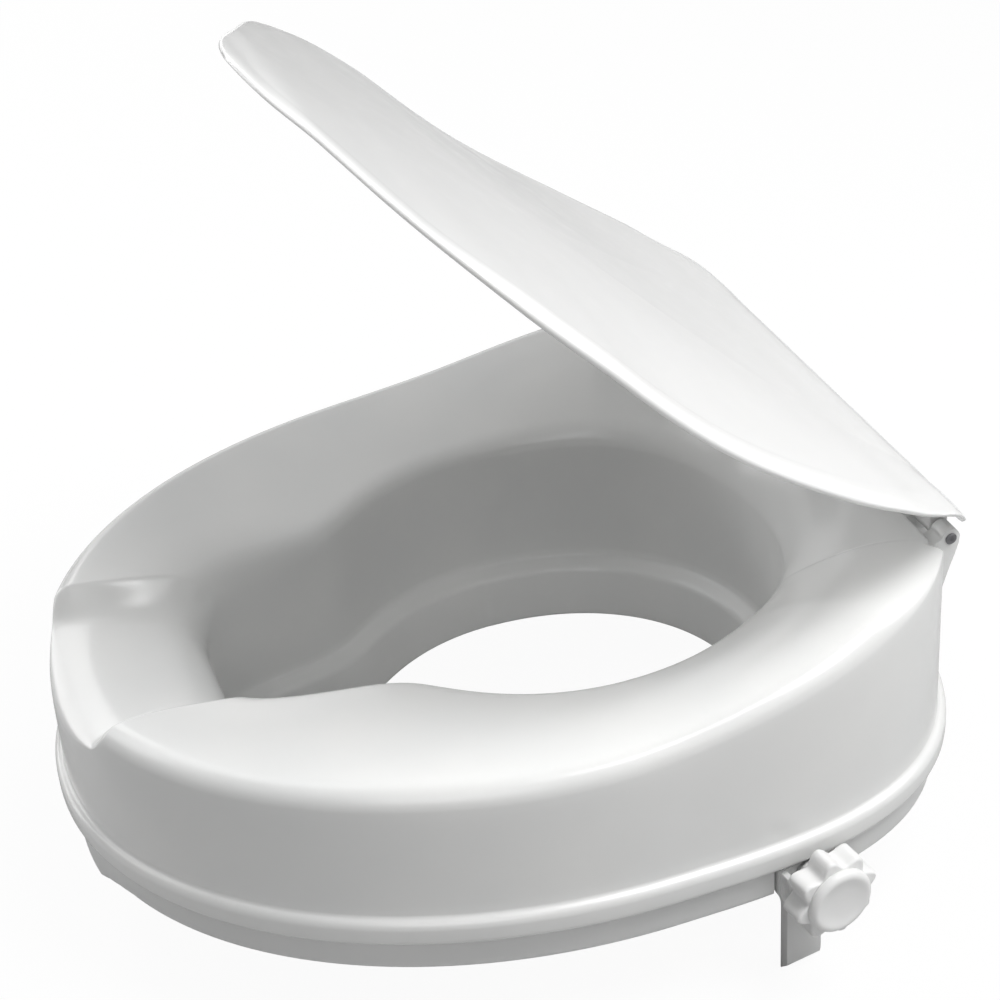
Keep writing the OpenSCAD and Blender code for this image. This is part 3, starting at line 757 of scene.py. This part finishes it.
def base_mesh():
    angle = station_angles(360)
    outer, inner = outer_inset(angle, SKIRT_INSET), hole_inset(angle, -WALL - 1)
    from_middle = np.abs(outer_point(angle)[..., 0])
    lug = FRONT_LUG * np.interp(from_middle, (27, 39, 50, 60), (1, 0.46, 0.15, 0))
    lug *= np.sin(angle) < 0
    foot = [(SKIRT_INSET + depth, z - lug * share) for depth, z, share in SKIRT_FOOT]
    foot += [(SKIRT_INSET + 3.0, np.minimum(0.0, 1.0 - lug)), (SKIRT_INSET + 3.1, 0.0)]
    rings = rings_at(outer_inset, angle, foot)
    # shallow grooves run round the underside
    rings += [lift(mix(outer, inner, middle + offset), depth)
              for middle in (0.36, 0.52) for offset, depth in GROOVE]
    rings += rings_at(hole_inset, angle, [(-WALL - 2.0, 0.0), (-WALL - 1.3, 0.2),
                                          (-WALL - 1.0, 0.8), (-WALL - 1.0, 3.3),
                                          (-WALL - 1.6, PLATE)])
    inside = SKIRT_INSET + WALL
    rings += rings_at(outer_inset, angle, [(inside + 1.2, PLATE), (inside + 0.2, PLATE + 0.5),
                                           (inside, PLATE + 1.4), (inside, 16.0),
                                           (inside - 0.4, SKIRT_Z)])
    return ring_solid(rings)


def base_cuts():
    """Gaps for the clamps, screw sockets and peg holes."""
    cuts = bmesh.new()
    for _, side in SIDES:
        gap = prism(rect(-15.5, -CLAMP_Z - 1, 15.5, 19 - CLAMP_Z), -9, 21, "huv")
        append_placed(gap, clamp_map(side), cuts)
    for i in range(8):
        prism(disc(4.2, *screw_centre(i)), -1, SCREW_DEPTH, solid=cuts)
    for degrees in PAD_ANGLES:
        prism(disc(PEG_R, *pad_frame(degrees)[0], 32), -1, 5, solid=cuts)
    return cuts


base = combine(to_bm(*base_mesh()), ("DIFFERENCE", base_cuts()))
add_object("base_moulding", to_row(base), "base_white", "seat", "base_plate", sharp=32)


# ------------------------------------------------------------------ base screws
SCREW_PROFILE = ((0, 0.3), (2.9, 0.3), (3.4, 0.42), (3.7, 0.75), (3.8, 1.2), (3.8, 2.3),
                 (3.5, SCREW_DEPTH), (1.5, SCREW_DEPTH), (1.5, 21.2), (0.9, 22), (0, 22))


def cross_poly(thin, reach):
    return [(-thin, -reach), (thin, -reach), (thin, -thin), (reach, -thin), (reach, thin),
            (thin, thin), (thin, reach), (-thin, reach), (-thin, thin), (-reach, thin),
            (-reach, -thin), (-thin, -thin)]


screws = bmesh.new()
for i in range(8):
    screw = combine(to_bm(*lathe(SCREW_PROFILE, 36)),
                    ("DIFFERENCE", prism(cross_poly(0.42, 2.1), -1, 1.5)))
    turn = rad(17 + 61 * i)
    append_placed(screw, plan_map(screw_centre(i), math.cos(turn), math.sin(turn)), screws)
add_object("base_screw_set", to_row(screws), "screw_steel", "seat", "base_screws", sharp=32)

# ------------------------------------------------------------------ rest pads
PEG_PROFILE = ((0, -0.5), (PEG_R, -0.5), (PEG_R, PLATE), (3.4, PLATE), (3.5, PLATE + 0.4),
               (3.1, PLATE + 1.5), (0, PLATE + 1.6))
PAD_POLY = arc_points(7, 0, 15, range(0, 181, 10)) + arc_points(7, 0, -15, range(180, 361, 10))

pads = bmesh.new()
for degrees in PAD_ANGLES:
    centre, normal = pad_frame(degrees)
    treads = bmesh.new()
    pad = soften(prism(PAD_POLY, -PAD, 0.0), 0.7)
    for k in range(-4, 5):
        prism(rect(-9, k * 4.2 - 0.6, 9, k * 4.2 + 0.6), -PAD - 1, -PAD + 0.8, solid=treads)
    pad = combine(pad, ("DIFFERENCE", treads))
    to_bm(*lathe(PEG_PROFILE, 28), pad)
    append_placed(pad, plan_map(centre, *normal), pads)
add_object("rest_pad_set", to_row(pads), "grip_rubber", "seat", "rest_pads", sharp=32)

# ------------------------------------------------------------------ hinge: bosses, pins, knuckles
EAR_POLY = arc_points(EAR_R, PIN_Y, PIN_Z, range(0, 171, 10)) + [
    (148, 111), (148, 88), (157, 88), (PIN_Y + EAR_R - 4.4, PIN_Z - 15),
    (PIN_Y + EAR_R - 2.2, PIN_Z - 9), (PIN_Y + EAR_R - 0.5, PIN_Z - 3.5)]
KNUCKLE_POLY = arc_points(EAR_R, PIN_Y, PIN_Z, range(200, 401, 10)) + [
    (PIN_Y - 2.2, PIN_Z + 8.4), (PIN_Y - 14, PIN_Z + 7.4)]
PIN_R = PIN_D / 2
PIN_PROFILE = ((0, 0), (1.9, 0), (PIN_R, 0.5), (PIN_R, 35), (PIN_R + 0.4, 35),
               (PIN_R + 0.4, 35.4), (PIN_R, 35.75), (1.2, 35.8), (0.8, 35.5), (0, 35.4))


def pin_bore(clearance, x0, x1):
    return prism(disc(PIN_R + clearance, PIN_Y, PIN_Z, 40), x0, x1, "huv")


def boss():
    """Two ears joined by a web."""
    solid = combine(prism(EAR_POLY, 100, 110, "huv"),
                    ("UNION", prism(rect(84.5, 147, 100.5, 152), 90, 106)),
                    ("UNION", prism(EAR_POLY, 76, 85, "huv")),
                    ("DIFFERENCE", pin_bore(0.02, 70, 115)))
    return soften(solid, 0.8, over=35)


def knuckle():
    solid = combine(prism(KNUCKLE_POLY, 86, 99, "huv"), ("DIFFERENCE", pin_bore(0.06, 80, 105)))
    return soften(solid, 0.5, over=35)


for name, side in SIDES:
    solid = to_row(boss(), lambda p: p * np.array([side, 1, 1]))
    add_object("hinge_boss_body_" + name, solid, "seat_white", "seat", "hinge_boss_" + name,
               sharp=34)
    points, faces = lathe(PIN_PROFILE, 40)
    points = np.stack([side * (75 + points[:, 2]), PIN_Y + points[:, 0], PIN_Z + points[:, 1]], -1)
    add_mesh("pin_" + name, points, faces, "pin_steel", "seat", "hinge_pin_" + name, sharp=34)
    solid = to_row(knuckle(), lambda p: swing(side * p[..., 0], p[..., 1], p[..., 2]))
    add_object("knuckle_" + name, solid, "lid_white", "lid", "lid_knuckle_" + name, sharp=34)

# ------------------------------------------------------------------ rubber buffers under the lid
# x, distance along from the lid's back edge, length
BUFFERS = ((140, 100, 4.8), (-140, 100, 4.8), (75, 290, 5.0), (-75, 290, 5.0))

buffers = bmesh.new()
for x, along, length in BUFFERS:
    angle, radius = np.arctan2(along - LID_MID, x), math.hypot(x, along - LID_MID)
    underside = float(lid_top(radius / lid_radius(angle), along)) - LID_T
    points, faces = lathe(
        ((0, 0.35), (1.6, 0.3), (2.4, 0.0), (3.6, 0.0), (4.2, 0.25), (4.5, 0.9),
         (4.7, length - 1.2), (5.3, length - 0.8), (5.5, length - 0.2), (5.5, length + 0.4),
         (0, length + 0.4)), 36)
    points = lid_place(x + points[:, 0], along + points[:, 1], underside - length + points[:, 2])
    to_bm(row_metres(points), faces, buffers)
add_object("lid_buffer_set", buffers, "buffer_rubber", "lid", "lid_buffers", sharp=40)

# ------------------------------------------------------------------ side clamps
# Clamp coordinates: out along the stud, along the seat, up from the stud's axis.
ARM_BACK, ARM_FRONT = ARM_SHIFT + ARM_W / 2, ARM_SHIFT - ARM_W / 2
ARM_FOOT = -CLAMP_Z - ARM_DROP
HEAD_HALF = 14.2


def bracket():
    """Arm with a wider head, a side wing at each edge and two rails under the seat."""
    plan = round_poly(
        [(ARM_FRONT, ARM_FOOT), (ARM_BACK, ARM_FOOT), (ARM_BACK, -15.8), (14, -8.6), (14, 5.4),
         (-HEAD_HALF, 5.4), (-HEAD_HALF, -8.6), (ARM_FRONT, -15.8)],
        [0.8, 15, 4, 3, 2, 2, 3, 4], 10)
    slope = [(-5, ARM_FOOT), (1, ARM_FOOT + 6), (6, ARM_FOOT + 6), (6, ARM_FOOT - 4),
             (-5, ARM_FOOT - 4)]
    wings, rails = bmesh.new(), bmesh.new()
    rail_z = -CLAMP_Z + PLATE + 0.3
    for k in (-1, 1):
        wing = [(k * HEAD_HALF, 4.6), (k * 10.8, 4.6), (k * 7.8, -11.4), (k * 10.4, -14)]
        prism(round_poly(wing, 1.0, 3), -3, 5.0, "huv", wings)
        prism(rect(-46, k * 7.65 - 1.35, -4, k * 7.65 + 1.35), rail_z, rail_z + 4, solid=rails)
    solid = combine(prism(plan, -5, 0, "huv"),
                    ("DIFFERENCE", prism(slope, -20, 20, "uhv")),
                    ("UNION", wings), ("UNION", rails),
                    ("DIFFERENCE", prism(disc(STUD_D / 2 + 0.08, 0, 0), -20, 20, "huv")))
    return soften(solid, 0.55, over=25)


def jaw_pad():
    """Rubber pad on the arm's inner face, grooved across."""
    plan = round_poly(
        rect(ARM_FRONT + 2, ARM_FOOT + 5, ARM_BACK - 2, ARM_FOOT + ARM_DROP - 5), 2.5)
    grooves = bmesh.new()
    for i in range(6):
        groove_z = ARM_FOOT + 8.6 + i * 5.4
        prism(rect(-9, -30, -6.8, 30), groove_z, groove_z + 2, solid=grooves)
    solid = combine(prism(plan, -7.6, -5, "huv"), ("DIFFERENCE", grooves))
    return soften(solid, 0.35, segments=2, over=35)


def lobe(angle):
    return 2.3 * (math.cos(LOBES * (angle - rad(10))) - 1)


def quarter(degrees):
    """Sine and cosine of each angle."""
    return [(math.sin(rad(q)), math.cos(rad(q))) for q in degrees]


WHEEL_R, CROWN_R = WHEEL_D / 2, CROWN_D / 2
# radius, distance along the stud, lobe weight
WHEEL_PROFILE = [
    (0, 17.0), (3.0, 17.0), (3.02, 1.9), (3.3, 1.6), (5.9, 1.6), (6.3, 2.0), (6.3, 11.6),
    (6.9, 12.6), (8.0, 13.0), (13.6, 13.0, 0.3), (14.6, 12.6, 0.6), (15.0, 11.4, 0.8),
    (15.5, 10.4, 0.9), (16.6, 10.0, 1),
    *[(WHEEL_R - 1.3 * (1 - sin), 11.3 - 1.3 * cos, 1)
      for sin, cos in quarter((0, 20, 40, 60, 80, 90))],
    (WHEEL_R, 14.0, 1), (WHEEL_R, 17.0, 1), (WHEEL_R, 20.0, 1),
    *[(WHEEL_R - 1.3 * (1 - cos), 20.7 + 1.3 * sin, 1)
      for sin, cos in quarter((0, 18, 36, 54, 72, 90))],
    (WHEEL_R - 2.4, WHEEL_OUT, 0.9), (CROWN_R - 1, WHEEL_OUT, 0.1), (8, WHEEL_OUT), (0, WHEEL_OUT)]
# radius, distance from the wheel's outer face
CROWN_PROFILE = [
    (0, 0), (CROWN_R - 0.3, 0), (CROWN_R, 0.3), (CROWN_R, 1.1),
    *[(CROWN_R - 2.6 * (1 - cos), 1.3 + 2.6 * sin)
      for sin, cos in quarter((0, 15, 30, 45, 60, 75, 90))],
    (CROWN_R - 3.4, 3.84), (CROWN_R - 4.3, 3.66), (CROWN_R - 5.4, 3.42), (CROWN_R - 7.0, 3.16),
    (6.0, 2.92), (3.0, 2.84), (0, 2.8)]


def thread(radius, pitch, depth, start, end, n):
    """Screw thread as one closed skin, faded out at both ends."""
    m = int((end - start) / pitch * 8) + 1
    height, angle = np.meshgrid(np.linspace(start, end, m), 2 * math.pi * np.arange(n) / n,
                                indexing="ij")
    phase = height / pitch - angle / (2 * math.pi)
    cut = depth * (1 - np.abs(2 * (phase % 1) - 1))
    fade = np.minimum(1, np.minimum(height - start, end - height))
    reach = radius - cut * np.clip(fade + 0.2, 0, 1) - (1 - np.clip(fade, 0, 1)) * 0.7
    skin = np.stack([reach * np.cos(angle), reach * np.sin(angle), height], -1).reshape(-1, 3)
    faces = [(k * n + i, k * n + (i + 1) % n, (k + 1) * n + (i + 1) % n, (k + 1) * n + i)
             for k in range(m - 1) for i in range(n)]
    faces += [(m * n, (i + 1) % n, i) for i in range(n)]
    faces += [(m * n + 1, (m - 1) * n + i, (m - 1) * n + (i + 1) % n) for i in range(n)]
    return np.concatenate([skin, [[0, 0, start], [0, 0, end]]]), faces


def add_turned(name, side, points, faces, *details):
    """Turned piece with its axis laid along the stud."""
    points = np.stack([points[..., 2], points[..., 0], points[..., 1]], -1)
    add_mesh(name, clamp_map(side)(points), faces, *details)


for name, side in SIDES:
    clamp, knob = "clamp_" + name, "knob_" + name
    add_object("bracket_body_" + name, to_row(bracket(), clamp_map(side)), "clamp_white", clamp,
               "bracket_" + name, sharp=28)
    add_object("jaw_rubber_" + name, to_row(jaw_pad(), clamp_map(side)), "grip_rubber", clamp,
               "jaw_pad_" + name, sharp=32)
    add_turned("wheel_body_" + name, side, *lathe(WHEEL_PROFILE, 256, lobe),
               "knob_white", knob, "wheel_" + name, 38)
    points, faces = lathe(CROWN_PROFILE, 96)
    add_turned("crown_cap_" + name, side, points + np.array([0, 0, WHEEL_OUT]), faces,
               "knob_white", knob, "crown_" + name, 50)
    stud = thread(radius=STUD_D / 2, pitch=1.0, depth=0.55, start=-48, end=17, n=24)
    add_turned("stud_thread_" + name, side, *stud, "screw_steel", knob, "stud_" + name, 60)

# ------------------------------------------------------------------ materials of the CAD nodes
CAD_SLOTS = {
    "base_plate": "base_white", "shell_posts": "base_white", "base_screws": "screw_steel",
    "rest_pads": "grip_rubber", "hinge_boss": "seat_white", "hinge_pin": "pin_steel",
    "nut_block": "base_white", "nut": "screw_steel", "lid_knuckle": "lid_white",
    "lid_buffers": "buffer_rubber", "bracket": "clamp_white", "jaw_pad": "grip_rubber",
    "wheel": "knob_white", "crown": "knob_white", "stud_ring": "screw_steel",
    "stud": "screw_steel", "washer": "screw_steel"}
for name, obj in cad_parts.items():
    key = name.replace("_left", "").replace("_right", "")
    if key in CAD_SLOTS:
        obj.data.materials.clear()
        obj.data.materials.append(MATERIALS[CAD_SLOTS[key]])

# ------------------------------------------------------------------ floor, metres
FLOOR_HALF, FLOOR_Z = 6.0, -0.0004
BACKDROP = 1.05      # brightness of the floor's glow and of the world, as the camera sees them
WHITE = (1, 1, 1, 1)


def floor_material():
    """Diffuse for light, mostly glowing to the camera, clear when seen from below."""
    material = bpy.data.materials.new("floor_pale")
    tree = cleared_tree(material)
    diffuse = add_node(tree, "BsdfDiffuse", {"Color": (0.5, 0.5, 0.5, 1)})
    glow = add_node(tree, "Emission", {"Color": WHITE, "Strength": BACKDROP})
    camera_ray = add_node(tree, "LightPath").outputs["Is Camera Ray"]
    share = add_node(tree, "Math", {0: camera_ray, 1: 0.9}, operation="MULTIPLY")
    above = add_node(tree, "MixShader", {0: share, 1: diffuse, 2: glow})
    below = add_node(tree, "NewGeometry").outputs["Backfacing"]
    clear = add_node(tree, "BsdfTransparent")
    surface = add_node(tree, "MixShader", {0: below, 1: above, 2: clear})
    add_node(tree, "OutputMaterial", {0: surface})
    return material


mesh = bpy.data.meshes.new("floor")
corners = rect(-FLOOR_HALF, -FLOOR_HALF, FLOOR_HALF, FLOOR_HALF)
mesh.from_pydata([(x, y, FLOOR_Z) for x, y in corners], [], [(0, 1, 2, 3)])
floor = bpy.data.objects.new("floor", mesh)
bpy.context.scene.collection.objects.link(floor)
mesh.materials.append(floor_material())


# ------------------------------------------------------------------ camera
def direction(azimuth, elevation):
    """Unit vector from degrees; azimuth 0 is the front and 90 the left side."""
    turn, tip = rad(azimuth), rad(elevation)
    return Vector((math.sin(turn) * math.cos(tip), -math.cos(turn) * math.cos(tip),
                   math.sin(tip)))


CAMERA_AZIMUTH, CAMERA_ELEVATION, CAMERA_ROLL = 72.49, 32.194, -4.398  # degrees
CAMERA_AIM = (0, -10.192, 118.25)                # in the seat's own frame, mm
CAMERA_DISTANCE = 0.987979                       # metres

back = direction(CAMERA_AZIMUTH, CAMERA_ELEVATION)
level = Vector((math.cos(rad(CAMERA_AZIMUTH)), math.sin(rad(CAMERA_AZIMUTH)), 0))
upright = back.cross(level)
roll = rad(CAMERA_ROLL)
right = level * math.cos(roll) + upright * math.sin(roll)
up = upright * math.cos(roll) - level * math.sin(roll)
eye = Vector(row_metres(np.array(CAMERA_AIM))) + back * CAMERA_DISTANCE
camera_data = bpy.data.cameras.new("camera")
camera_data.sensor_width = 36
camera_data.sensor_fit = "AUTO"
camera_data.lens = 77.619312
camera = bpy.data.objects.new("camera", camera_data)
bpy.context.scene.collection.objects.link(camera)
camera.matrix_world = Matrix((*zip(right, up, back, eye), (0, 0, 0, 1)))
bpy.context.scene.camera = camera

# ------------------------------------------------------------------ world: bright only to the camera
world = bpy.data.worlds.new("studio")
bpy.context.scene.world = world
tree = cleared_tree(world)
seen = add_node(tree, "Background", {"Color": WHITE, "Strength": BACKDROP})
fill = add_node(tree, "Background", {"Color": (0.96, 0.98, 1, 1), "Strength": 0.02})
camera_ray = add_node(tree, "LightPath").outputs["Is Camera Ray"]
add_node(tree, "OutputWorld", {0: add_node(tree, "MixShader", {0: camera_ray, 1: fill, 2: seen})})

# ------------------------------------------------------------------ a ring of soft boxes, metres
LIGHT_AIM = Vector((0, 0.02, 0.15))
LIGHT_DISTANCE, LIGHT_SIZE = 1.9, 0.9
# azimuth, elevation, power in watts
SOFT_BOXES = (
    (135, 62, 27.1), (157, 35, 9.4), (315, 10, 8.1), (292, 35, 7.1), (337, 35, 5.1),
    (315, 62, 4.9), (67, 35, 4.6), (112, 35, 3.0), (270, 10, 2.4), (247, 35, 0.8),
    (202, 35, 0.8), (45, 62, 0.7))
for azimuth, elevation, power in SOFT_BOXES:
    name = "soft_%d_%d" % (azimuth, elevation)
    light = bpy.data.lights.new(name, "AREA")
    light.shape = "RECTANGLE"
    light.size = light.size_y = LIGHT_SIZE
    light.energy = power
    lamp = bpy.data.objects.new(name, light)
    bpy.context.scene.collection.objects.link(lamp)
    place = LIGHT_AIM + direction(azimuth, elevation) * LIGHT_DISTANCE
    lamp.location = place
    lamp.rotation_euler = (LIGHT_AIM - place).to_track_quat("-Z", "Y").to_euler()

bpy.context.scene.view_settings.view_transform = "Standard"
bpy.context.scene.view_settings.look = "None"
